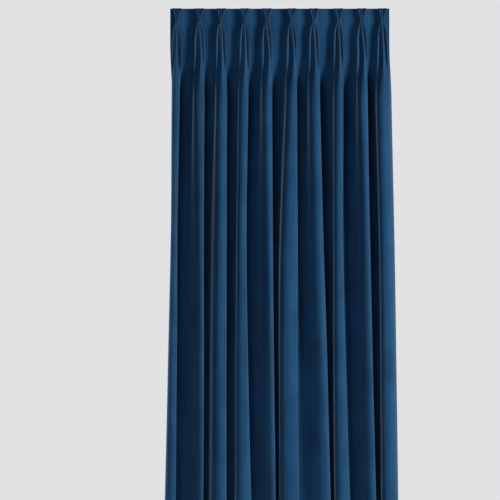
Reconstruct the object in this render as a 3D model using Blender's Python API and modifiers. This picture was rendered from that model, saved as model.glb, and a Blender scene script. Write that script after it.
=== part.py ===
"""Velvet drape with ten triple pinch pleats, hanging still: one sheet of cloth.

Units are metres and +Z is up. The origin is on the top edge, near the middle of the heading.
+X runs along the heading, and the face of the velvet looks along -Y.

Every level of the drape is a section in plan, a line that the cloth follows from its left side
edge to its right one. The same threads run down through all the sections, so a section never
has more or less cloth in it than the heading takes up.
"""

from collections import namedtuple

import bpy
import numpy as np

# ---------------------------------------------------------------- driving dimensions

DROP = 2.44  # top edge to hem
CLOTH_THICKNESS = 0.0012  # the ground and its pile
LAYER_PITCH = 0.0018  # one layer to the next where a pleat is tacked together
FINGER_DEPTH = 0.025  # each pleat has three fingers this deep
TACK_DROP = 0.059  # the fingers are sewn together this far below the top edge
HEADING_END = 0.145  # below this the fingers open into one hanging fold
DRIFT_END = 0.23  # the middle finger has drifted all its way here
FOLDS_START = 0.42  # from here down each pleat is one round fold
RIDGE_FRONT = -0.046  # how far the folds stand in front of the heading

LEFT_EDGE, RIGHT_EDGE = -0.485, 0.479  # the side edges along the heading

# One row for each pleat: where it is tacked, and how far its middle finger drifts sideways.
Pleat = namedtuple("Pleat", "x drift")
PLEATS = (
    Pleat(-0.455, -0.006),
    Pleat(-0.356, 0.008),
    Pleat(-0.261, 0.004),
    Pleat(-0.157, 0.003),
    Pleat(-0.060, 0.012),
    Pleat(0.049, 0.012),
    Pleat(0.147, 0.006),
    Pleat(0.255, 0.005),
    Pleat(0.357, 0.012),
    Pleat(0.447, 0.005),
)

# One row for each level of the heading. Outer is where an outer finger's tip lies from the
# pleat's centre, groove where the cloth turns back between two fingers, and base where the
# pleat meets the flat cloth. Lift is how far a groove comes forward, and tip a tip's width.
Level = namedtuple("Level", "drop outer groove base lift tip")
HEADING = (
    Level(0.000, 0.0170, 0.0032, 0.0065, 0.000, LAYER_PITCH),
    Level(TACK_DROP, 2 * LAYER_PITCH, LAYER_PITCH, 2.5 * LAYER_PITCH, 0.000, LAYER_PITCH),
    Level(0.095, 0.0150, 0.0080, 0.0130, 0.001, 0.0020),
    Level(HEADING_END, 0.0205, 0.0110, 0.0200, 0.003, 0.0024),
)

# The hanging folds: one table for each height, and one row for each fold from left to right.
# The front of a fold runs from left to right, and the hollow after it from back_left to
# back_right. After the last fold both of these say where the right side edge hangs.
Fold = namedtuple("Fold", "left right back_left back_right")
SHOULDER = (
    Fold(-0.484, -0.438, -0.452, -0.386),
    Fold(-0.382, -0.329, -0.342, -0.286),
    Fold(-0.284, -0.229, -0.243, -0.180),
    Fold(-0.190, -0.136, -0.149, -0.088),
    Fold(-0.082, -0.031, -0.044, 0.020),
    Fold(0.024, 0.078, 0.064, 0.120),
    Fold(0.124, 0.179, 0.166, 0.236),
    Fold(0.229, 0.281, 0.268, 0.334),
    Fold(0.338, 0.389, 0.376, 0.424),
    Fold(0.418, 0.480, 0.492, 0.492),
)
WAIST = (
    Fold(-0.488, -0.448, -0.462, -0.410),
    Fold(-0.366, -0.331, -0.346, -0.306),
    Fold(-0.290, -0.231, -0.245, -0.188),
    Fold(-0.196, -0.142, -0.160, -0.116),
    Fold(-0.066, -0.028, -0.044, -0.002),
    Fold(0.000, 0.081, 0.066, 0.104),
    Fold(0.146, 0.195, 0.178, 0.240),
    Fold(0.229, 0.281, 0.264, 0.312),
    Fold(0.362, 0.398, 0.382, 0.440),
    Fold(0.431, 0.496, 0.504, 0.504),
)
KNEE = (
    Fold(-0.502, -0.450, -0.466, -0.424),
    Fold(-0.364, -0.331, -0.346, -0.312),
    Fold(-0.296, -0.231, -0.246, -0.192),
    Fold(-0.200, -0.134, -0.154, -0.114),
    Fold(-0.056, -0.022, -0.040, 0.000),
    Fold(-0.010, 0.084, 0.066, 0.106),
    Fold(0.166, 0.213, 0.194, 0.240),
    Fold(0.230, 0.296, 0.276, 0.320),
    Fold(0.374, 0.412, 0.394, 0.446),
    Fold(0.437, 0.510, 0.514, 0.514),
)
HEM = (
    Fold(-0.524, -0.456, -0.476, -0.430),
    Fold(-0.366, -0.335, -0.352, -0.318),
    Fold(-0.300, -0.230, -0.248, -0.196),
    Fold(-0.202, -0.110, -0.136, -0.096),
    Fold(-0.048, -0.012, -0.030, 0.004),
    Fold(-0.008, 0.089, 0.068, 0.108),
    Fold(0.182, 0.234, 0.212, 0.246),
    Fold(0.236, 0.322, 0.298, 0.340),
    Fold(0.392, 0.432, 0.412, 0.452),
    Fold(0.442, 0.522, 0.524, 0.524),
)
Station = namedtuple("Station", "drop left_edge folds")
STATIONS = (
    Station(FOLDS_START, -0.478, SHOULDER),
    Station(1.00, -0.482, WAIST),
    Station(1.60, -0.494, KNEE),
    Station(DROP, -0.514, HEM),
)

# ---------------------------------------------------------------- how finely the sheet is cut

ROW_DROPS = (0.0, TACK_DROP, 0.095, HEADING_END, 0.235, 0.265, 0.295, FOLDS_START, 1.0, 1.7, DROP)
SPACE_POINTS = 4  # across the flat cloth between two pleats
END_POINTS = 2  # across the flat cloth beside the first and last pleats
CURVE_STEPS = 16  # along each rounded corner of a section
DEEPEST_FOLD = 0.30
VELVET_BLUE = (0.012, 0.075, 0.160, 1.0)


def smoothstep(x):
    x = np.clip(x, 0.0, 1.0)
    return x * x * (3 - 2 * x)


def between(drop, stations):
    """The values of the stations, on a smooth curve through all of them, at a drop."""
    drops = [station[0] for station in stations]
    values = [np.asarray(station[1], float) for station in stations]
    last = len(drops) - 1
    k = min(max(int(np.searchsorted(drops, drop)) - 1, 0), last - 1)
    before, after = max(k - 1, 0), min(k + 2, last)
    span = drops[k + 1] - drops[k]
    slope_in = (values[k + 1] - values[before]) / (drops[k + 1] - drops[before])
    slope_out = (values[after] - values[k]) / (drops[after] - drops[k])
    t = min(max((drop - drops[k]) / span, 0.0), 1.0)
    return (
        values[k] * (1 + 2 * t) * (1 - t) ** 2
        + values[k + 1] * t * t * (3 - 2 * t)
        + span * (slope_in * t * (1 - t) ** 2 - slope_out * t * t * (1 - t))
    )


# ---------------------------------------------------------------- the cloth's threads

def half_pleat_threads():
    """Where half a pleat turns, and the middles between, along the cloth from its centre."""
    turn = LAYER_PITCH / 2
    threads = []
    for _ in range(3):
        threads += [turn, turn + FINGER_DEPTH / 2, turn + FINGER_DEPTH]
        turn += FINGER_DEPTH + LAYER_PITCH
    return np.array(threads)


HALF_PLEAT = half_pleat_threads()
TACK_HALF_WIDTH = 2.5 * LAYER_PITCH  # six layers side by side


def inner_points(start, end, count):
    """Points evenly spaced between two others, which are left out."""
    steps = np.arange(1, count + 1)[:, None] / (count + 1)
    return np.asarray(start, float) * (1 - steps) + np.asarray(end, float) * steps


def cloth_positions():
    """Along the cloth from its left side edge: every thread, and the centre of every pleat."""
    threads, centres, at, x = [[0.0]], [], 0.0, LEFT_EDGE
    for index, pleat in enumerate(PLEATS):
        flat = pleat.x - TACK_HALF_WIDTH - x
        count = SPACE_POINTS if index else END_POINTS
        threads.append(inner_points([at], [at + flat], count)[:, 0])
        centre = at + flat + HALF_PLEAT[-1]
        threads.append(centre - HALF_PLEAT[::-1])
        threads.append(centre + HALF_PLEAT)
        centres.append(centre)
        at = centre + HALF_PLEAT[-1]
        x = pleat.x + TACK_HALF_WIDTH
    end = at + RIGHT_EDGE - x
    threads.append(inner_points([at], [end], END_POINTS)[:, 0])
    threads.append([end])
    return np.concatenate(threads), np.array(centres)


THREADS, CENTRES = cloth_positions()


# ---------------------------------------------------------------- sections in plan

def half_pleat(level, drift, side):
    """The threads of HALF_PLEAT in plan, out from the pleat's centre to its right or left."""
    lean = drift * side
    closing = max(lean, 0.0) / level.outer
    groove = level.groove + lean / 2
    half_tip, half_turn = level.tip / 2, LAYER_PITCH / 2
    across = level.outer - half_tip - level.groove - half_turn
    run = np.sqrt(FINGER_DEPTH**2 - across**2)
    tip_y = -level.lift - run
    groove_y = -level.lift - closing * run
    layers = (
        ((lean + half_tip, tip_y), (groove - half_turn, groove_y)),
        ((groove + half_turn, groove_y), (level.outer - half_tip, tip_y)),
        ((level.outer + half_tip, tip_y), (level.base, 0.0)),
    )
    points = [np.vstack([start, inner_points(start, end, 1), end]) for start, end in layers]
    return np.concatenate(points) * (side, 1)


def heading_section(drop):
    """The threads where they are pleated: tight fingers, and flat cloth between the pleats."""
    drops = [level.drop for level in HEADING]
    level = Level(*(np.interp(drop, drops, column) for column in zip(*HEADING)))
    drifted = smoothstep((drop - TACK_DROP) / (DRIFT_END - TACK_DROP))
    edge = np.array([LEFT_EDGE, 0.0])
    points = [[edge]]
    for index, pleat in enumerate(PLEATS):
        left = half_pleat(level, pleat.drift * drifted, -1) + (pleat.x, 0)
        right = half_pleat(level, pleat.drift * drifted, 1) + (pleat.x, 0)
        points.append(inner_points(edge, left[-1], SPACE_POINTS if index else END_POINTS))
        points += [left[::-1], right]
        edge = right[-1]
    end = np.array([RIGHT_EDGE, 0.0])
    points += [inner_points(edge, end, END_POINTS), [end]]
    return np.concatenate(points)


def rounded(corners):
    """A smooth line from the first corner to the last that turns each corner between."""
    corners = np.asarray(corners, float)
    joins = (corners[1:-2] + corners[2:-1]) / 2
    starts = np.vstack([corners[:1], joins])
    ends = np.vstack([joins, corners[-1:]])
    t = np.linspace(0, 1, CURVE_STEPS)[:, None]
    pieces = [
        start * (1 - t) ** 2 + corner * 2 * t * (1 - t) + end * t * t
        for start, corner, end in zip(starts, corners[1:-1], ends)
    ]
    return np.concatenate([pieces[0]] + [piece[1:] for piece in pieces[1:]])


def lengths(line):
    """The distance along a line to each of its points."""
    steps = np.linalg.norm(np.diff(line, axis=0), axis=1)
    return np.concatenate([[0.0], np.cumsum(steps)])


def hang(corners_at, cloth):
    """The rounded line of corners_at(depth), as deep as it takes to use up the cloth."""
    shallow, deep = RIDGE_FRONT, DEEPEST_FOLD
    for _ in range(24):
        depth = (shallow + deep) / 2
        if lengths(rounded(corners_at(depth)))[-1] < cloth:
            shallow = depth
        else:
            deep = depth
    return rounded(corners_at(depth))


def fold_section(drop):
    """The threads where they hang free, each fold as deep as its cloth makes it."""
    table = [(station.drop, station.folds) for station in STATIONS]
    folds = [Fold(*row) for row in between(drop, table)]
    left_edge = float(between(drop, [(station.drop, station.left_edge) for station in STATIONS]))
    front = RIDGE_FRONT
    crests = [((fold.left + fold.right) / 2, front) for fold in folds]
    bounds = np.concatenate([[THREADS[0]], CENTRES, [THREADS[-1]]])
    lines = [
        hang(lambda y: [(left_edge, y), (folds[0].left, front), crests[0]], CENTRES[0])
    ]
    for k, (fold, after) in enumerate(zip(folds, folds[1:])):
        lines.append(
            hang(
                lambda y: [
                    crests[k],
                    (fold.right, front),
                    (fold.back_left, y),
                    (fold.back_right, y),
                    (after.left, front),
                    crests[k + 1],
                ],
                CENTRES[k + 1] - CENTRES[k],
            )
        )
    last = folds[-1]
    lines.append(
        hang(
            lambda y: [crests[-1], (last.right, front), (last.back_right, y)],
            THREADS[-1] - CENTRES[-1],
        )
    )
    points = np.empty((len(THREADS), 2))
    for start, end, line in zip(bounds, bounds[1:], lines):
        inside = (THREADS >= start) & (THREADS <= end)
        share = (THREADS[inside] - start) / (end - start)
        along = lengths(line)
        for axis in (0, 1):
            points[inside, axis] = np.interp(share * along[-1], along, line[:, axis])
    return points


def section(drop):
    """The threads in plan at any drop: the heading opens into the hanging folds."""
    opened = smoothstep((drop - HEADING_END) / (FOLDS_START - HEADING_END))
    points = np.zeros((len(THREADS), 2))
    if opened < 1:
        points += (1 - opened) * heading_section(drop)
    if opened > 0:
        points += opened * fold_section(max(drop, FOLDS_START))
    return points


# ---------------------------------------------------------------- the drape

def velvet():
    """Deep blue velvet: matt, with a pale sheen where it turns away."""
    material = bpy.data.materials.new("navy_velvet")
    material.use_nodes = True
    shader = material.node_tree.nodes["Principled BSDF"]
    shader.inputs["Base Color"].default_value = VELVET_BLUE
    shader.inputs["Roughness"].default_value = 0.85
    shader.inputs["Metallic"].default_value = 0.0
    shader.inputs["Sheen Weight"].default_value = 0.6
    return material


def velvet_drape():
    """A flat grid, a column for each thread and a row for each section, hung and thickened."""
    bpy.ops.mesh.primitive_grid_add(
        x_subdivisions=len(THREADS) - 1, y_subdivisions=len(ROW_DROPS) - 1, size=1
    )
    drape = bpy.context.object
    drape.name = drape.data.name = "velvet_drape"
    hung = [
        np.column_stack([section(drop), np.full(len(THREADS), -drop)])
        for drop in reversed(ROW_DROPS)
    ]
    drape.data.vertices.foreach_set("co", np.concatenate(hung).ravel())
    drape.data.update()
    drape.data.shade_smooth()
    drape.data.materials.append(velvet())
    # Both faces of the cloth get the same diagonals, so that they stay a thickness apart.
    diagonals = drape.modifiers.new("diagonals", "TRIANGULATE")
    diagonals.quad_method = "SHORTEST_DIAGONAL"
    thicken = drape.modifiers.new("cloth thickness", "SOLIDIFY")
    thicken.thickness = CLOTH_THICKNESS
    thicken.offset = 0
    thicken.use_even_offset = True
    return drape


def main():
    for old in list(bpy.data.objects):
        bpy.data.objects.remove(old)
    collection = bpy.data.collections.new("velvet drape")
    bpy.context.scene.collection.children.link(collection)
    drape = velvet_drape()
    for other in list(drape.users_collection):
        other.objects.unlink(drape)
    collection.objects.link(drape)


main()
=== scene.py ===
# %% [markdown]
# # A velvet drape with pinch pleats
#
# This is one curtain panel of deep blue velvet, pleated at the top in groups of three fingers
# and hanging free below them in ten deep folds. The lesson makes the cloth first, then its
# sewing, then the velvet, the light and the camera.
#
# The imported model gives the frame. It is in metres, with Z up, X along the heading and the
# face of the velvet looking along -Y. The cloth made here stands in for the plain solid.

# %% Load the frame
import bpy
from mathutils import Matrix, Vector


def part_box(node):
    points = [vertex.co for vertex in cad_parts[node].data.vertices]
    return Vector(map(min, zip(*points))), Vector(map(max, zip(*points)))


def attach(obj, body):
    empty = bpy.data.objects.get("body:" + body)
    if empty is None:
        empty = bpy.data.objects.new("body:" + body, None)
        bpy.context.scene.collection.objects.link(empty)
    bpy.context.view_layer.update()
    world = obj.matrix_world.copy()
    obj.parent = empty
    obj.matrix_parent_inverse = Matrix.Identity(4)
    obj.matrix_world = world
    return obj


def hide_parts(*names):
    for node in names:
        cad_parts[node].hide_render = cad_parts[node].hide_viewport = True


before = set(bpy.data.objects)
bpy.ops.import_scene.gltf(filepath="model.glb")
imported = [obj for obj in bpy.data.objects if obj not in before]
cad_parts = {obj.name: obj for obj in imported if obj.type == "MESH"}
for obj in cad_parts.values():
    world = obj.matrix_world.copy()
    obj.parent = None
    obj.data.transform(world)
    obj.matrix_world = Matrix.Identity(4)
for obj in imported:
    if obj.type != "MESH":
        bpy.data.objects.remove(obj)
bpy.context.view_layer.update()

drape_low, drape_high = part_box("velvet_drape")
print("drape solid from", tuple(drape_low), "to", tuple(drape_high))

# %% Modules and sizes
import math
from collections import namedtuple

import bpy
import numpy as np
from mathutils import Vector, noise

DROP = round(-drape_low[2], 3)  # from the top edge at z = 0 to the hem
CLOTH = 0.0011  # the ground and its pile
LAYER_PITCH = 0.0018  # one layer of the solid to the next where a pleat is tacked together
FINGER_DEPTH = 0.025
TACK_DROP = 0.059
HEADING_END = 0.145
DRIFT_END = 0.23
FOLDS_START = 0.42
RIDGE_FRONT = -0.046
LEFT_EDGE, RIGHT_EDGE = -0.485, 0.479
print("the drape hangs", DROP, "m")

# %% [markdown]
# ## Where the pleats and folds are
#
# A maker sews each pleat by folding a loop of cloth, dividing it into three fingers and
# tacking them together. Here one short table holds the pleats, one holds the shape of a
# pleat at four heights, and four tables hold the folds that hang from the pleats. They are
# the same sizes as the solid's, so the fine cloth lies where the solid is. A table with
# named columns is easier to adjust than a list of points: moving one fold is one row.

# %% The pleats
Pleat = namedtuple("Pleat", "x drift")
PLEATS = (
    Pleat(-0.455, -0.006),
    Pleat(-0.356, 0.008),
    Pleat(-0.261, 0.004),
    Pleat(-0.157, 0.003),
    Pleat(-0.060, 0.012),
    Pleat(0.049, 0.012),
    Pleat(0.147, 0.006),
    Pleat(0.255, 0.005),
    Pleat(0.357, 0.012),
    Pleat(0.447, 0.005),
)

# Outer is where an outer finger's tip lies from the pleat's centre, groove and turn are where
# the cloth turns back between two fingers and how wide, base is where the pleat meets the
# flat cloth. Lift is how far a groove comes forward, tip a tip's width and bend its softness.
Level = namedtuple("Level", "drop outer groove turn base lift tip bend")
LEVELS = (
    Level(0.000, 0.0165, 0.0034, 0.0007, 0.0072, 0.000, 0.0042, 0.0021),
    Level(TACK_DROP, 0.0037, 0.0019, 0.0003, 0.0054, 0.000, 0.0031, 0.0015),
    Level(0.095, 0.0150, 0.0080, 0.0018, 0.0130, 0.001, 0.0040, 0.0030),
    Level(HEADING_END, 0.0205, 0.0110, 0.0024, 0.0200, 0.003, 0.0052, 0.0055),
    Level(DRIFT_END, 0.0205, 0.0110, 0.0024, 0.0200, 0.003, 0.0060, 0.0080),
)
pleat_pitch = (PLEATS[-1].x - PLEATS[0].x) / (len(PLEATS) - 1)
print(len(PLEATS), "pleats about", round(pleat_pitch * 1000), "mm apart")

# %% The hanging folds
# The front of a fold runs from left to right, and the hollow after it from back_left to
# back_right. After the last fold both of these say where the right side edge hangs.
Fold = namedtuple("Fold", "left right back_left back_right")
SHOULDER = (
    Fold(-0.484, -0.438, -0.452, -0.386),
    Fold(-0.382, -0.329, -0.342, -0.286),
    Fold(-0.284, -0.229, -0.243, -0.180),
    Fold(-0.190, -0.136, -0.149, -0.088),
    Fold(-0.082, -0.031, -0.044, 0.020),
    Fold(0.024, 0.078, 0.064, 0.120),
    Fold(0.124, 0.179, 0.166, 0.236),
    Fold(0.229, 0.281, 0.268, 0.334),
    Fold(0.338, 0.389, 0.376, 0.424),
    Fold(0.418, 0.480, 0.492, 0.492),
)
WAIST = (
    Fold(-0.488, -0.448, -0.462, -0.410),
    Fold(-0.366, -0.331, -0.346, -0.306),
    Fold(-0.290, -0.231, -0.245, -0.188),
    Fold(-0.196, -0.142, -0.160, -0.116),
    Fold(-0.066, -0.028, -0.044, -0.002),
    Fold(0.000, 0.081, 0.066, 0.104),
    Fold(0.146, 0.195, 0.178, 0.240),
    Fold(0.229, 0.281, 0.264, 0.312),
    Fold(0.362, 0.398, 0.382, 0.440),
    Fold(0.431, 0.496, 0.504, 0.504),
)
KNEE = (
    Fold(-0.502, -0.450, -0.466, -0.424),
    Fold(-0.364, -0.331, -0.346, -0.312),
    Fold(-0.296, -0.231, -0.246, -0.192),
    Fold(-0.200, -0.134, -0.154, -0.114),
    Fold(-0.056, -0.022, -0.040, 0.000),
    Fold(-0.010, 0.084, 0.066, 0.106),
    Fold(0.166, 0.213, 0.194, 0.240),
    Fold(0.230, 0.296, 0.276, 0.320),
    Fold(0.374, 0.412, 0.394, 0.446),
    Fold(0.437, 0.510, 0.514, 0.514),
)
HEM = (
    Fold(-0.524, -0.456, -0.476, -0.430),
    Fold(-0.366, -0.335, -0.352, -0.318),
    Fold(-0.300, -0.230, -0.248, -0.196),
    Fold(-0.202, -0.110, -0.136, -0.096),
    Fold(-0.048, -0.012, -0.030, 0.004),
    Fold(-0.008, 0.089, 0.068, 0.108),
    Fold(0.182, 0.234, 0.212, 0.246),
    Fold(0.236, 0.322, 0.298, 0.340),
    Fold(0.392, 0.432, 0.412, 0.452),
    Fold(0.442, 0.522, 0.524, 0.524),
)
Station = namedtuple("Station", "drop left_edge folds")
STATIONS = (
    Station(FOLDS_START, -0.478, SHOULDER),
    Station(1.00, -0.482, WAIST),
    Station(1.60, -0.494, KNEE),
    Station(DROP, -0.514, HEM),
)

# %% [markdown]
# ## Smooth values between the tables
#
# Cloth has no kinks between the heights where the tables give its shape. A cubic through
# the neighbouring rows (a Catmull-Rom curve) carries every value smoothly down the drape.
# Straight interpolation would be simpler, but each table's height would show as a crease.

# %% Smooth values
def smoothstep(x):
    x = np.clip(x, 0.0, 1.0)
    return x * x * (3 - 2 * x)


def between(drop, stations):
    """The values of the stations, on a smooth curve through all of them, at a drop."""
    drops = [station[0] for station in stations]
    values = [np.asarray(station[1], float) for station in stations]
    last = len(drops) - 1
    k = min(max(int(np.searchsorted(drops, drop)) - 1, 0), last - 1)
    before, after = max(k - 1, 0), min(k + 2, last)
    span = drops[k + 1] - drops[k]
    slope_in = (values[k + 1] - values[before]) / (drops[k + 1] - drops[before])
    slope_out = (values[after] - values[k]) / (drops[after] - drops[k])
    t = min(max((drop - drops[k]) / span, 0.0), 1.0)
    return (
        values[k] * (1 + 2 * t) * (1 - t) ** 2
        + values[k + 1] * t * t * (3 - 2 * t)
        + span * (slope_in * t * (1 - t) ** 2 - slope_out * t * t * (1 - t))
    )


def level_at(drop):
    """The shape of a pleat at a drop: straight fingers above the tack, and smooth ones below."""
    rows = LEVELS[:2] if drop < TACK_DROP else LEVELS[1:]
    return Level(drop, *between(drop, [(level.drop, level[1:]) for level in rows]))


print("at the tack three fingers are", round(2e3 * level_at(TACK_DROP).base, 1), "mm wide")

# %% [markdown]
# ## The threads of the cloth
#
# Velvet hardly stretches, so the cloth is followed by its own threads: every column of the
# mesh is one lengthwise thread, at a fixed distance from the left side edge. The fingers
# turn tightly, so the threads lie close together at their tips and grooves, and further
# apart along their sides. The same threads then run down through the loose folds.

# %% The threads
TURNS = (  # where half a pleat turns, along the cloth from its centre
    LAYER_PITCH / 2,
    LAYER_PITCH / 2 + FINGER_DEPTH,
    LAYER_PITCH * 3 / 2 + FINGER_DEPTH,
    LAYER_PITCH * 3 / 2 + 2 * FINGER_DEPTH,
    LAYER_PITCH * 5 / 2 + 2 * FINGER_DEPTH,
    LAYER_PITCH * 5 / 2 + 3 * FINGER_DEPTH,
)
TACK_HALF_WIDTH = 2.5 * LAYER_PITCH
SIDE_HEM = 0.038
NEAR_TURN = (0.0011, 0.0029, 0.0068)  # threads this far from a turn, on either side
SPACE_THREADS = 9  # across the flat cloth between two pleats
HEM_STEP = 0.0012  # the cloth's thickness changes over this width at the edge of a hem


def half_pleat_threads():
    """The threads of half a pleat, along the cloth from its centre."""
    threads = [0.0]
    for start, end in zip(TURNS[::2], TURNS[1::2]):
        middle = (start + end) / 2
        threads += [start, *(start + near for near in NEAR_TURN), middle]
        threads += [*(end - near for near in reversed(NEAR_TURN)), end]
        if end < TURNS[-1]:
            threads.append(end + LAYER_PITCH / 2)
    return np.array(threads)


def cloth_threads():
    """Every thread, and the centre of every pleat, along the cloth from its left side edge."""
    half = half_pleat_threads()
    threads, centres, at, x = [[0.0]], [], 0.0, LEFT_EDGE
    for pleat in PLEATS:
        flat = pleat.x - TACK_HALF_WIDTH - x
        threads.append(np.linspace(at, at + flat, SPACE_THREADS + 2)[1:-1])
        centre = at + flat + TURNS[-1]
        threads += [centre - half[:0:-1], centre + half]
        centres.append(centre)
        at = centre + TURNS[-1]
        x = pleat.x + TACK_HALF_WIDTH
    end = at + RIGHT_EDGE - x
    threads.append(np.linspace(at, end, SPACE_THREADS + 2)[1:])
    hems = [SIDE_HEM, SIDE_HEM + HEM_STEP, end - SIDE_HEM, end - SIDE_HEM - HEM_STEP]
    return np.unique(np.concatenate([*threads, hems]).round(6)), np.array(centres)


THREADS, CENTRES = cloth_threads()
WIDTH = THREADS[-1]
print(len(THREADS), "threads across", round(WIDTH, 3), "m of cloth")

# %% [markdown]
# ## A rounded line through corners
#
# Each height of the drape is drawn in plan as a line with corners, and each corner is then
# turned by a short parabola. A big bend gives the soft hanging folds, and a small one the
# tight edge of a finger. A spline through many points would give the same line, but the
# corners can be read as sizes: this finger is so wide, that hollow starts there.

# %% Rounded lines
CURVE_STEPS = 9
SOFT = 1.0  # a bend that is longer than any side


def rounded(corners, bend):
    """The line through these corners, which starts to turn this far before each of them."""
    corners = np.asarray(corners, float)
    here = corners[1:-1]
    t = np.linspace(0, 1, CURVE_STEPS)[None, :, None]
    ends = []
    for beside, outermost in ((corners[:-2], 0), (corners[2:], -1)):
        limit = np.full(len(here), 0.5)
        limit[outermost] = 1.0
        span = np.maximum(np.linalg.norm(beside - here, axis=1), 1e-9)
        ends.append(here + (beside - here) * np.minimum(limit, bend / span)[:, None])
    before, after = (end[:, None, :] for end in ends)
    turns = before * (1 - t) ** 2 + here[:, None, :] * 2 * t * (1 - t) + after * t * t
    return np.vstack([corners[:1], turns.reshape(-1, 2), corners[-1:]])


def distances(line):
    """The distance along a line to each of its points."""
    steps = np.linalg.norm(np.diff(line, axis=0), axis=1)
    return np.concatenate([[0.0], np.cumsum(steps)])


def points_on(line, along, at):
    """The points of a line at these distances along it."""
    return np.column_stack([np.interp(at, along, line[:, axis]) for axis in (0, 1)])


# %% [markdown]
# ## The pleated heading in plan
#
# Half a pleat has six corners: one side of the middle finger's tip, two where the cloth
# turns back in the groove, two round the outer finger's tip, and the base where it meets
# the flat cloth. The other half mirrors it, except that the middle finger leans over to
# one side below the tack, by a little in some pleats and by more in others.

# %% The heading
def half_pleat(level, drift, side):
    """The corners of half a pleat, out from its centre to its right (side 1) or left (-1)."""
    lean = drift * side
    closing = max(lean, 0.0) / level.outer
    groove = level.groove + lean / 2
    half_tip, half_turn = level.tip / 2, level.turn / 2
    across = level.outer - half_tip - level.groove - half_turn
    run = math.sqrt(FINGER_DEPTH**2 - across**2)
    tip_y = -level.lift - run
    groove_y = -level.lift - closing * run
    return np.array([
        (side * (lean + half_tip), tip_y),
        (side * (groove - half_turn), groove_y),
        (side * (groove + half_turn), groove_y),
        (side * (level.outer - half_tip), tip_y),
        (side * (level.outer + half_tip), tip_y),
        (side * level.base, 0.0),
    ])


def heading_section(drop):
    """The threads in plan where they are pleated: fingers, and flat cloth between them."""
    level = level_at(min(drop, DRIFT_END))
    drifted = smoothstep((drop - TACK_DROP) / (DRIFT_END - TACK_DROP))
    corners, held = [[(LEFT_EDGE, 0.0)]], [[0.0]]
    for pleat, centre in zip(PLEATS, CENTRES):
        for side in (-1, 1):
            half = half_pleat(level, pleat.drift * drifted, side) + (pleat.x, 0)
            corners.append(half[::side])
            held.append((centre + side * np.array(TURNS))[::side])
    corners.append([(RIGHT_EDGE, 0.0)])
    held.append([WIDTH])
    line = rounded(np.concatenate(corners), level.bend)
    along = distances(line)
    middles = along[1 + CURVE_STEPS // 2:-1:CURVE_STEPS]
    at = np.interp(THREADS, np.concatenate(held), [0.0, *middles, along[-1]])
    return points_on(line, along, at)


# %% [markdown]
# ## The hanging folds in plan
#
# Below the heading each pleat opens into one fold. How wide a fold looks is in the tables,
# and how deep it is follows from its cloth: the hollow between two folds goes back just far
# enough to use up the cloth between the two pleats. Halving the range over and over finds
# that depth. This is why narrow folds stand deep and wide ones lie shallow, as in real cloth.

# %% The hanging folds
DEEPEST_FOLD = 0.30
HALVINGS = 24


def hang(corners_at, cloth):
    """The rounded line of corners_at(depth), as deep as it takes to use up the cloth."""
    shallow, deep = RIDGE_FRONT, DEEPEST_FOLD
    for _ in range(HALVINGS):
        depth = (shallow + deep) / 2
        if distances(rounded(corners_at(depth), SOFT))[-1] < cloth:
            shallow = depth
        else:
            deep = depth
    return rounded(corners_at(depth), SOFT)


def fold_lines(drop):
    """Lines in plan from the left edge over the crest of every fold to the right edge."""
    table = [(station.drop, station.folds) for station in STATIONS]
    folds = [Fold(*row) for row in between(drop, table)]
    left_edge = float(between(drop, [(station.drop, station.left_edge) for station in STATIONS]))
    front = RIDGE_FRONT
    crests = [((fold.left + fold.right) / 2, front) for fold in folds]
    first, last = folds[0], folds[-1]
    lines = [hang(lambda y: [(left_edge, y), (first.left, front), crests[0]], CENTRES[0])]
    for k, (fold, after) in enumerate(zip(folds, folds[1:])):
        lines.append(
            hang(
                lambda y: [
                    crests[k],
                    (fold.right, front),
                    (fold.back_left, y),
                    (fold.back_right, y),
                    (after.left, front),
                    crests[k + 1],
                ],
                CENTRES[k + 1] - CENTRES[k],
            )
        )
    lines.append(
        hang(
            lambda y: [crests[-1], (last.right, front), (last.back_right, y)],
            WIDTH - CENTRES[-1],
        )
    )
    return lines


def fold_section(drop):
    """The threads in plan where they hang free, evenly spread along their lines."""
    bounds = np.concatenate([[0.0], CENTRES, [WIDTH]])
    points = np.empty((len(THREADS), 2))
    for start, end, line in zip(bounds, bounds[1:], fold_lines(drop)):
        inside = (THREADS >= start) & (THREADS <= end)
        along = distances(line)
        share = (THREADS[inside] - start) / (end - start)
        points[inside] = points_on(line, along, share * along[-1])
    return points


def section(drop):
    """The threads in plan at any drop: the heading opens into the hanging folds."""
    opened = smoothstep((drop - HEADING_END) / (FOLDS_START - HEADING_END))
    points = np.zeros((len(THREADS), 2))
    if opened < 1:
        points += (1 - opened) * heading_section(drop)
    if opened > 0:
        points += opened * fold_section(max(drop, FOLDS_START))
    return points


# %% [markdown]
# ## The surface of the drape
#
# The rows of the mesh lie close together in the heading, where the shape changes fast, and
# far apart in the long folds. Then a little unevenness is pressed into the surface along
# its normals: the flat cloth between pleats sinks back, and the folds get faint, long
# dents. Without them the folds look machined, and with more the velvet looks crushed.

# %% The surface
BOTTOM_HEM = 0.10
TURNOVER = 0.10  # the cloth is turned over to the back this far below the top edge
ROW_BANDS = (  # from one drop to the next in this many rows
    (0.000, 0.006, 4),
    (0.006, 0.150, 26),
    (0.150, FOLDS_START, 18),
    (FOLDS_START, DROP - BOTTOM_HEM, 24),
    (DROP - BOTTOM_HEM, DROP - 0.004, 3),
    (DROP - 0.004, DROP, 2),
)


def row_drops():
    drops = [np.linspace(start, end, rows + 1) for start, end, rows in ROW_BANDS]
    steps = [TURNOVER, TURNOVER + HEM_STEP, DROP - BOTTOM_HEM - HEM_STEP]
    return np.unique(np.concatenate([*drops, steps]).round(6))


DROPS = row_drops()


def surface():
    """The points of the velvet's face: rows from the top edge down, threads from the left."""
    rows = [np.column_stack([section(drop), np.full(len(THREADS), -drop)]) for drop in DROPS]
    return np.array(rows)


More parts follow.
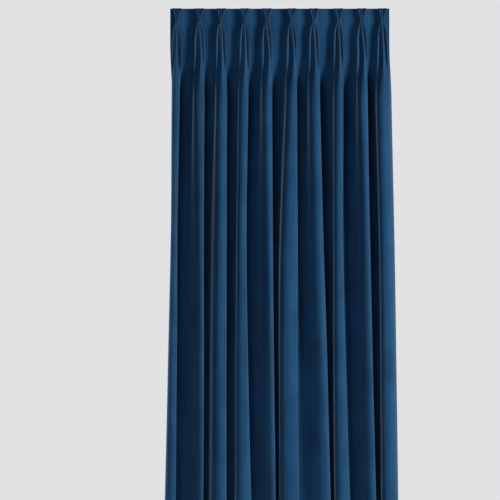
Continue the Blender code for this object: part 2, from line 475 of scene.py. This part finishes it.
def normals_of(points):
    """The direction that the velvet's face looks in at every point."""
    down = np.gradient(points, axis=0)
    across = np.gradient(points, axis=1)
    normals = np.cross(down, across)
    return normals / np.maximum(np.linalg.norm(normals, axis=2, keepdims=True), 1e-12)


FLAT_SAG = 0.0035  # how far the flat cloth between two pleats bows back
DENT = 0.0011  # the depth of the dents in the hanging folds
DENT_ACROSS, DENT_DOWN = 16.0, 2.2  # dents in a metre


def relief():
    """How far each point stands off the smooth surface, in metres."""
    edges = np.sort(np.concatenate([[0, WIDTH], CENTRES - TURNS[-1], CENTRES + TURNS[-1]]))
    raised = np.zeros((len(DROPS), len(THREADS)))
    fading = 1 - smoothstep((DROPS - 0.10) / 0.15)
    for start, end in edges.reshape(-1, 2):
        share = np.clip((THREADS - start) / (end - start), 0, 1)
        sag = FLAT_SAG * (end - start) / 0.09 * np.sin(math.pi * share) ** 2
        raised -= fading[:, None] * sag[None, :]
    loose = smoothstep((DROPS - 0.10) / 0.4)
    dents = np.array([
        [noise.noise(Vector((DENT_ACROSS * s, DENT_DOWN * d, 0.5))) for s in THREADS]
        for d in DROPS
    ])
    return raised + DENT * loose[:, None] * dents


flat_surface = surface()
FACE = flat_surface + relief()[..., None] * normals_of(flat_surface)
NORMALS = normals_of(FACE)
print("face of", FACE.shape[0], "rows by", FACE.shape[1], "threads")

# %% [markdown]
# ## The cloth piece
#
# The face becomes a mesh with one vertex for each thread at each row. Its UV map holds
# metres of cloth, so that the velvet's pattern follows the cloth round every fold. The
# cloth gets its thickness from Solidify, backwards from the face, and a vertex group makes
# it twice as thick where a hem is turned over: down both sides, along the bottom and at
# the flat parts of the heading. Separate hems would be truer to the sewing, but the doubled
# cloth shows only as a step on the back, which this gives in one clean piece.

# %% The cloth
TOP_ROLL = 0.0011  # the top edge rolls back this far over the turned-over cloth
ROLL_DROP = 0.004


def hem_weights():
    """1 where the cloth is doubled, and 0.5 where it is single."""
    side = np.minimum(THREADS, WIDTH - THREADS)
    doubled_side = 1 - smoothstep((side - SIDE_HEM) / HEM_STEP)
    doubled_bottom = smoothstep((DROPS - (DROP - BOTTOM_HEM - HEM_STEP)) / HEM_STEP)
    doubled_top = 1 - smoothstep((DROPS - TURNOVER) / HEM_STEP)
    from_pleat = np.min(np.abs(THREADS[:, None] - CENTRES[None, :]), axis=1) - TURNS[-1]
    between_pleats = smoothstep((from_pleat - 0.003) / 0.004)
    top = doubled_top[:, None] * between_pleats[None, :]
    return 0.5 + 0.5 * np.maximum(np.maximum(top, doubled_side[None, :]), doubled_bottom[:, None])


def grid_mesh(name, points, uvs):
    """A mesh of quads over rows of points, facing the viewer when the rows run downwards."""
    rows, columns = points.shape[:2]
    index = np.arange(rows * columns).reshape(rows, columns)
    faces = np.stack([index[:-1, :-1], index[1:, :-1], index[1:, 1:], index[:-1, 1:]], axis=-1)
    mesh = bpy.data.meshes.new(name)
    mesh.from_pydata(points.reshape(-1, 3).tolist(), [], faces.reshape(-1, 4).tolist())
    corners = np.empty(len(mesh.loops), np.int32)
    mesh.loops.foreach_get("vertex_index", corners)
    layer = mesh.uv_layers.new(name="cloth_metres")
    layer.data.foreach_set("uv", uvs.reshape(-1, 2)[corners].astype(np.float32).ravel())
    mesh.update()
    return mesh


def drape_cloth():
    points = FACE.copy()
    roll = np.clip(1 - DROPS / ROLL_DROP, 0, 1) ** 2
    points[..., 1] += TOP_ROLL * roll[:, None]
    uvs = np.stack(np.broadcast_arrays(THREADS[None, :], -DROPS[:, None]), axis=-1)
    cloth = bpy.data.objects.new("drape_cloth", grid_mesh("drape_cloth", points, uvs))
    bpy.context.scene.collection.objects.link(cloth)
    cloth.data.shade_smooth()
    layers = cloth.vertex_groups.new(name="layers")
    for index, weight in enumerate(hem_weights().ravel().tolist()):
        layers.add([index], weight, "REPLACE")
    thicken = cloth.modifiers.new("ground and pile", "SOLIDIFY")
    thicken.thickness = 2 * CLOTH
    thicken.offset = -1
    thicken.vertex_group = "layers"
    thicken.material_offset = 1
    return cloth


cloth = drape_cloth()
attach(cloth, "root")
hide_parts("velvet_drape")
print("cloth has", len(cloth.data.polygons), "quads before its thickness")

# %% [markdown]
# ## The sewing
#
# Every stitch is the same short thread, so one is modelled and copied along the cloth. It
# starts as a sphere drawn out to the length of a stitch and pinched at both ends, where the
# thread dives into the cloth. The rows are one piece each: hundreds of objects would be
# slow to handle, and a maker also thinks of a seam as one row.

# %% One stitch
STITCH_LENGTH = 0.0034
STITCH_GAP = 0.0016
THREAD = 0.0005  # the thread's thickness


def stitch_shape():
    """The vertices and faces of one stitch along X, lying on the XY plane."""
    bpy.ops.object.select_all(action="DESELECT")
    bpy.ops.mesh.primitive_uv_sphere_add(segments=8, ring_count=6, radius=0.5)
    stitch = bpy.context.object
    bpy.ops.object.mode_set(mode="EDIT")
    bpy.ops.mesh.select_all(action="SELECT")
    bpy.ops.transform.rotate(value=math.pi / 2, orient_axis="Y", center_override=(0, 0, 0))
    bpy.ops.transform.resize(value=(STITCH_LENGTH, THREAD, THREAD), center_override=(0, 0, 0))
    bpy.ops.object.mode_set(mode="OBJECT")
    vertices = np.array([vertex.co for vertex in stitch.data.vertices])
    faces = [list(face.vertices) for face in stitch.data.polygons]
    bpy.data.objects.remove(stitch)
    return vertices, faces


STITCH, STITCH_FACES = stitch_shape()
print("one stitch has", len(STITCH_FACES), "faces")

# %% Rows of stitches
def on_cloth(thread, drop, back):
    """The point and normal of the cloth at a thread and a drop, on its face or its back."""
    column = np.interp(thread, THREADS, np.arange(len(THREADS)))
    row = np.interp(drop, DROPS, np.arange(len(DROPS)))
    left, top = min(int(column), len(THREADS) - 2), min(int(row), len(DROPS) - 2)
    across, down = column - left, row - top
    cells = ((0, 0, (1 - down) * (1 - across)), (0, 1, (1 - down) * across),
             (1, 0, down * (1 - across)), (1, 1, down * across))
    point = sum(share * FACE[top + r, left + c] for r, c, share in cells)
    normal = sum(share * NORMALS[top + r, left + c] for r, c, share in cells)
    normal = normal / np.linalg.norm(normal)
    if back:
        return point - 2 * CLOTH * normal, -normal
    return point, normal


def stitch_row(name, places, back):
    """One piece of stitches, each from one (thread, drop) to the next but one along a line."""
    vertices, faces = [], []
    for (thread, drop), (next_thread, next_drop) in places:
        start, normal = on_cloth(thread, drop, back)
        end, _ = on_cloth(next_thread, next_drop, back)
        along = end - start
        along = along / np.linalg.norm(along)
        beside = np.cross(normal, along)
        axes = np.array([along, beside, np.cross(along, beside)])
        base = len(vertices) * len(STITCH)
        vertices.append((start + end) / 2 + STITCH @ axes)
        faces += [[base + corner for corner in face] for face in STITCH_FACES]
    mesh = bpy.data.meshes.new(name)
    mesh.from_pydata(np.concatenate(vertices).tolist(), [], faces)
    mesh.shade_smooth()
    row = bpy.data.objects.new(name, mesh)
    bpy.context.scene.collection.objects.link(row)
    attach(row, "root")
    print(name, "has", len(places), "stitches")
    return row


def running(start, end, fixed, lengthwise):
    """Places of stitches from start to end, down the cloth or across it."""
    starts = np.arange(start, end - STITCH_LENGTH, STITCH_LENGTH + STITCH_GAP)
    pairs = [(at, at + STITCH_LENGTH) for at in starts]
    if lengthwise:
        return [((fixed, first), (fixed, second)) for first, second in pairs]
    return [((first, fixed), (second, fixed)) for first, second in pairs]


# %% [markdown]
# The row along the top holds the stiff band inside the heading. The side hems and the
# bottom hem are sewn from the back. Two short rows, one on each side of every pleat, are
# the tacks that pinch its three fingers together.

# %% Sew the drape
TOP_ROW_DROP = 0.009
HEM_ROW_INSET = 0.004
TACK_DEPTH = 0.016  # the tack goes through the fingers this far in front of the flat cloth
TACK_STITCHES = 4
TACK_SPREAD = 0.0016

flats = np.sort(np.concatenate([[0.002, WIDTH - 0.002], CENTRES - TURNS[-1], CENTRES + TURNS[-1]]))
top_places = [
    place
    for start, end in flats.reshape(-1, 2)
    for place in running(start, end, TOP_ROW_DROP, lengthwise=False)
]
side_places = [
    place
    for thread in (SIDE_HEM - HEM_ROW_INSET, WIDTH - SIDE_HEM + HEM_ROW_INSET)
    for place in running(TURNOVER, DROP - BOTTOM_HEM, thread, lengthwise=True)
]
bottom_places = running(
    SIDE_HEM, WIDTH - SIDE_HEM, DROP - BOTTOM_HEM + HEM_ROW_INSET, lengthwise=False
)
tack_places = []
for centre in CENTRES:
    for side in (-1, 1):
        thread = centre + side * (TURNS[-1] - TACK_DEPTH)
        for k in range(TACK_STITCHES):
            drop = TACK_DROP + (k - (TACK_STITCHES - 1) / 2) * TACK_SPREAD
            reach = STITCH_LENGTH / 2
            tack_places.append(((thread - reach, drop), (thread + reach, drop)))

top_stitches = stitch_row("heading_stitches", top_places, back=False)
side_stitches = stitch_row("side_hem_stitches", side_places, back=True)
bottom_stitches = stitch_row("bottom_hem_stitches", bottom_places, back=True)
tack_stitches = stitch_row("pleat_tacks", tack_places, back=False)
sewing = (top_stitches, side_stitches, bottom_stitches, tack_stitches)

# %% [markdown]
# ## A small language for materials
#
# A shader is arithmetic on sockets. Wrapping a socket in a class with the usual operators
# lets each pattern be written as one line of Python, and each operator adds its Math node.

# %% Sockets as numbers
class Wire:
    """A socket in a node tree that can be added, subtracted, multiplied and divided."""

    def __init__(self, nodes, socket):
        self.nodes, self.socket = nodes, socket

    def math(self, operation, first, second):
        return self.nodes.add("ShaderNodeMath", {"operation": operation}, {0: first, 1: second})[0]

    def __add__(self, other):
        return self.math("ADD", self, other)

    def __sub__(self, other):
        return self.math("SUBTRACT", self, other)

    def __rsub__(self, other):
        return self.math("SUBTRACT", other, self)

    def __mul__(self, other):
        return self.math("MULTIPLY", self, other)

    __radd__ = __add__
    __rmul__ = __mul__


class Nodes:
    """The node tree of a new material."""

    def __init__(self, name):
        self.material = bpy.data.materials.new(name)
        self.material.use_nodes = True
        self.tree = self.material.node_tree
        self.shader = self.tree.nodes["Principled BSDF"]

    def add(self, kind, settings, inputs):
        """A node of this kind, its settings made first, then its values and links."""
        node = self.tree.nodes.new(kind)
        for name, value in settings.items():
            if name == "stops":
                self.stops(node.color_ramp, value)
            else:
                setattr(node, name, value)
        for name, value in inputs.items():
            self.feed(node.inputs[name], value)
        return [Wire(self, socket) for socket in node.outputs]

    def stops(self, ramp, stops):
        while len(ramp.elements) < len(stops):
            ramp.elements.new(1.0)
        for element, (position, colour) in zip(ramp.elements, stops):
            element.position, element.color = position, colour

    def feed(self, socket, value):
        if isinstance(value, Wire):
            self.tree.links.new(value.socket, socket)
        else:
            socket.default_value = value

    def set(self, **inputs):
        """Values and links for the shader, with _ for the spaces in its sockets' names."""
        for name, value in inputs.items():
            self.feed(self.shader.inputs[name.replace("_", " ")], value)


# %% [markdown]
# ## The velvet
#
# Velvet is a woven ground with a dense, short pile that stands on it. Seen along its
# fibres it is nearly black, because the light is lost among them. Where it turns away, the
# sides of the fibres catch the light and it shines pale. The Principled shader's sheen
# gives that rim of light, and a dark, very rough base gives the depth. The pile never lies
# quite evenly, so the colour and the roughness drift in long soft streaks down the cloth,
# and a fine grain of tufts is bumped into the surface.

# %% Velvet
PILE_DARK = (0.0045, 0.036, 0.094, 1.0)
PILE_LIGHT = (0.0085, 0.056, 0.130, 1.0)
STREAKS_ACROSS, STREAKS_DOWN = 26.0, 1.3  # in a metre
CLOUDS = 7.0
TUFTS = 900.0


def velvet():
    nodes = Nodes("navy_velvet_pile")
    metres = nodes.add("ShaderNodeUVMap", {"uv_map": "cloth_metres"}, {})[0]
    stretched = nodes.add(
        "ShaderNodeVectorMath", {"operation": "MULTIPLY"},
        {0: metres, 1: (STREAKS_ACROSS, STREAKS_DOWN, 1.0)},
    )[0]
    streaks = nodes.add(
        "ShaderNodeTexNoise", {"noise_dimensions": "2D"},
        {"Vector": stretched, "Scale": 1.0, "Detail": 3.0, "Roughness": 0.55},
    )[0]
    clouds = nodes.add(
        "ShaderNodeTexNoise", {"noise_dimensions": "2D"},
        {"Vector": metres, "Scale": CLOUDS, "Detail": 2.0, "Roughness": 0.5},
    )[0]
    tufts = nodes.add(
        "ShaderNodeTexNoise", {"noise_dimensions": "2D"},
        {"Vector": metres, "Scale": TUFTS, "Detail": 1.0, "Roughness": 0.5},
    )[0]
    lie = 0.6 * streaks + 0.4 * clouds
    colour = nodes.add(
        "ShaderNodeValToRGB", {"stops": ((0.36, PILE_DARK), (0.64, PILE_LIGHT))}, {"Fac": lie}
    )[0]
    bump = nodes.add(
        "ShaderNodeBump", {}, {"Height": tufts, "Strength": 0.25, "Distance": 0.0004}
    )[0]
    nodes.set(
        Base_Color=colour,
        Roughness=0.92 - 0.12 * lie,
        Normal=bump,
        Specular_IOR_Level=0.15,
        Sheen_Weight=0.75,
        Sheen_Roughness=0.35,
        Sheen_Tint=(0.52, 0.74, 1.0, 1.0),
    )
    return nodes.material


# %% [markdown]
# The back of velvet has no pile: it is the plain ground cloth, dyed with it, flat and dull.
# Two crossed waves in the cloth's own metres make the threads of its plain weave.

# %% The woven back
GROUND_BLUE = (0.010, 0.050, 0.110, 1.0)
GROUND_PALE = (0.016, 0.070, 0.145, 1.0)
WEAVE = 1400.0  # waves in a metre


def woven_back():
    nodes = Nodes("navy_ground_weave")
    metres = nodes.add("ShaderNodeUVMap", {"uv_map": "cloth_metres"}, {})[0]
    waves = [
        nodes.add(
            "ShaderNodeTexWave", {"bands_direction": direction},
            {"Vector": metres, "Scale": WEAVE / 20, "Distortion": 0.6, "Detail": 0.0},
        )[1]
        for direction in ("X", "Y")
    ]
    weave = waves[0] * waves[1]
    colour = nodes.add(
        "ShaderNodeValToRGB", {"stops": ((0.0, GROUND_BLUE), (1.0, GROUND_PALE))}, {"Fac": weave}
    )[0]
    bump = nodes.add(
        "ShaderNodeBump", {}, {"Height": weave, "Strength": 0.3, "Distance": 0.0002}
    )[0]
    nodes.set(Base_Color=colour, Roughness=0.9, Normal=bump, Specular_IOR_Level=0.2)
    return nodes.material


# %% Thread
THREAD_BLUE = (0.012, 0.065, 0.150, 1.0)
TWISTS = 2500.0


def sewing_thread():
    """Thread dyed to match, with the slight gloss of its twisted plies."""
    nodes = Nodes("navy_thread")
    place = nodes.add("ShaderNodeTexCoord", {}, {})[3]
    twist = nodes.add(
        "ShaderNodeTexNoise", {}, {"Vector": place, "Scale": TWISTS, "Detail": 1.0}
    )[0]
    bump = nodes.add(
        "ShaderNodeBump", {}, {"Height": twist, "Strength": 0.4, "Distance": 0.0001}
    )[0]
    nodes.set(Base_Color=THREAD_BLUE, Roughness=0.75 - 0.2 * twist, Normal=bump)
    return nodes.material


cloth.data.materials.append(velvet())
cloth.data.materials.append(woven_back())
thread_material = sewing_thread()
for row in sewing:
    row.data.materials.append(thread_material)

# %% [markdown]
# ## Floor, light and camera
#
# The drape hangs over a pale floor in front of a pale, empty studio. One large soft light
# stands at the front right, so every fold is lit on its right side and dark on its left.
# A weaker one at the back left draws the thin rim down the left edge, and a broad one at
# the front, a little to the left, softens the dark sides. The studio looks pale to the
# camera but adds little light of its own, or the hollows would fill with it.

# %% Floor and studio
STUDIO_PALE = (0.76, 0.76, 0.78, 1.0)
STUDIO_DIM = (0.75, 0.82, 1.0, 1.0)
STUDIO_FILL = 0.10
FLOOR_GAP = 0.012
FLOOR_RADIUS = 1.6
FLOOR_SIDES = 96
FLOOR_WHITE = (0.8, 0.8, 0.8, 1.0)


def studio_floor():
    bpy.ops.object.select_all(action="DESELECT")
    bpy.ops.mesh.primitive_circle_add(
        vertices=FLOOR_SIDES,
        radius=FLOOR_RADIUS,
        fill_type="NGON",
        location=(0, 0, drape_low[2] - FLOOR_GAP),
    )
    floor = bpy.context.object
    floor.name = "studio_floor"
    nodes = Nodes("studio_floor")
    nodes.set(Base_Color=FLOOR_WHITE, Roughness=0.9)
    floor.data.materials.append(nodes.material)


def studio_world():
    world = bpy.data.worlds.new("studio")
    world.use_nodes = True
    tree = world.node_tree
    tree.nodes.clear()
    rays = tree.nodes.new("ShaderNodeLightPath")
    seen, felt = (tree.nodes.new("ShaderNodeBackground") for _ in range(2))
    seen.inputs["Color"].default_value = STUDIO_PALE
    felt.inputs["Color"].default_value = STUDIO_DIM
    felt.inputs["Strength"].default_value = STUDIO_FILL
    mix = tree.nodes.new("ShaderNodeMixShader")
    output = tree.nodes.new("ShaderNodeOutputWorld")
    tree.links.new(rays.outputs["Is Camera Ray"], mix.inputs["Fac"])
    tree.links.new(felt.outputs["Background"], mix.inputs[1])
    tree.links.new(seen.outputs["Background"], mix.inputs[2])
    tree.links.new(mix.outputs["Shader"], output.inputs["Surface"])
    bpy.context.scene.world = world


studio_floor()
studio_world()

# %% Lights
MIDDLE = Vector((0.0, 0.0, -DROP / 2))
LIGHT_Z = -0.9
WARM_WHITE = (1.0, 0.98, 0.95)
COOL_WHITE = (0.9, 0.95, 1.0)

# Width and height are the light's own, in metres, and power is in watts.
Light = namedtuple("Light", "name x y width height power colour")
LIGHTS = (
    Light("key_right", 3.4, -2.6, 1.2, 2.6, 260.0, WARM_WHITE),
    Light("rim_left", -2.6, 0.5, 0.8, 2.4, 40.0, COOL_WHITE),
    Light("fill_front", -1.4, -4.6, 2.0, 2.4, 60.0, COOL_WHITE),
)


def soft_light(light):
    data = bpy.data.lights.new(light.name, "AREA")
    data.shape = "RECTANGLE"
    data.size, data.size_y = light.width, light.height
    data.energy = light.power
    data.color = light.colour
    lamp = bpy.data.objects.new(light.name, data)
    lamp.location = (light.x, light.y, LIGHT_Z)
    lamp.rotation_euler = (MIDDLE - lamp.location).to_track_quat("-Z", "Y").to_euler()
    bpy.context.scene.collection.objects.link(lamp)


for light in LIGHTS:
    soft_light(light)

# %% Camera
VIEW_WIDTH = 2.188  # metres across the picture at the drape
CAMERA_DISTANCE = 9.0
VIEW_CENTRE = (-0.134, -1.062)  # x and z in the middle of the picture
SENSOR = 36.0

camera_data = bpy.data.cameras.new("camera")
camera_data.sensor_width = SENSOR
camera_data.lens = SENSOR * CAMERA_DISTANCE / VIEW_WIDTH
camera = bpy.data.objects.new("camera", camera_data)
camera.location = (VIEW_CENTRE[0], RIDGE_FRONT - CAMERA_DISTANCE, VIEW_CENTRE[1])
camera.rotation_euler = (math.pi / 2, 0, 0)
bpy.context.scene.collection.objects.link(camera)
bpy.context.scene.camera = camera
bpy.context.scene.view_settings.view_transform = "Standard"
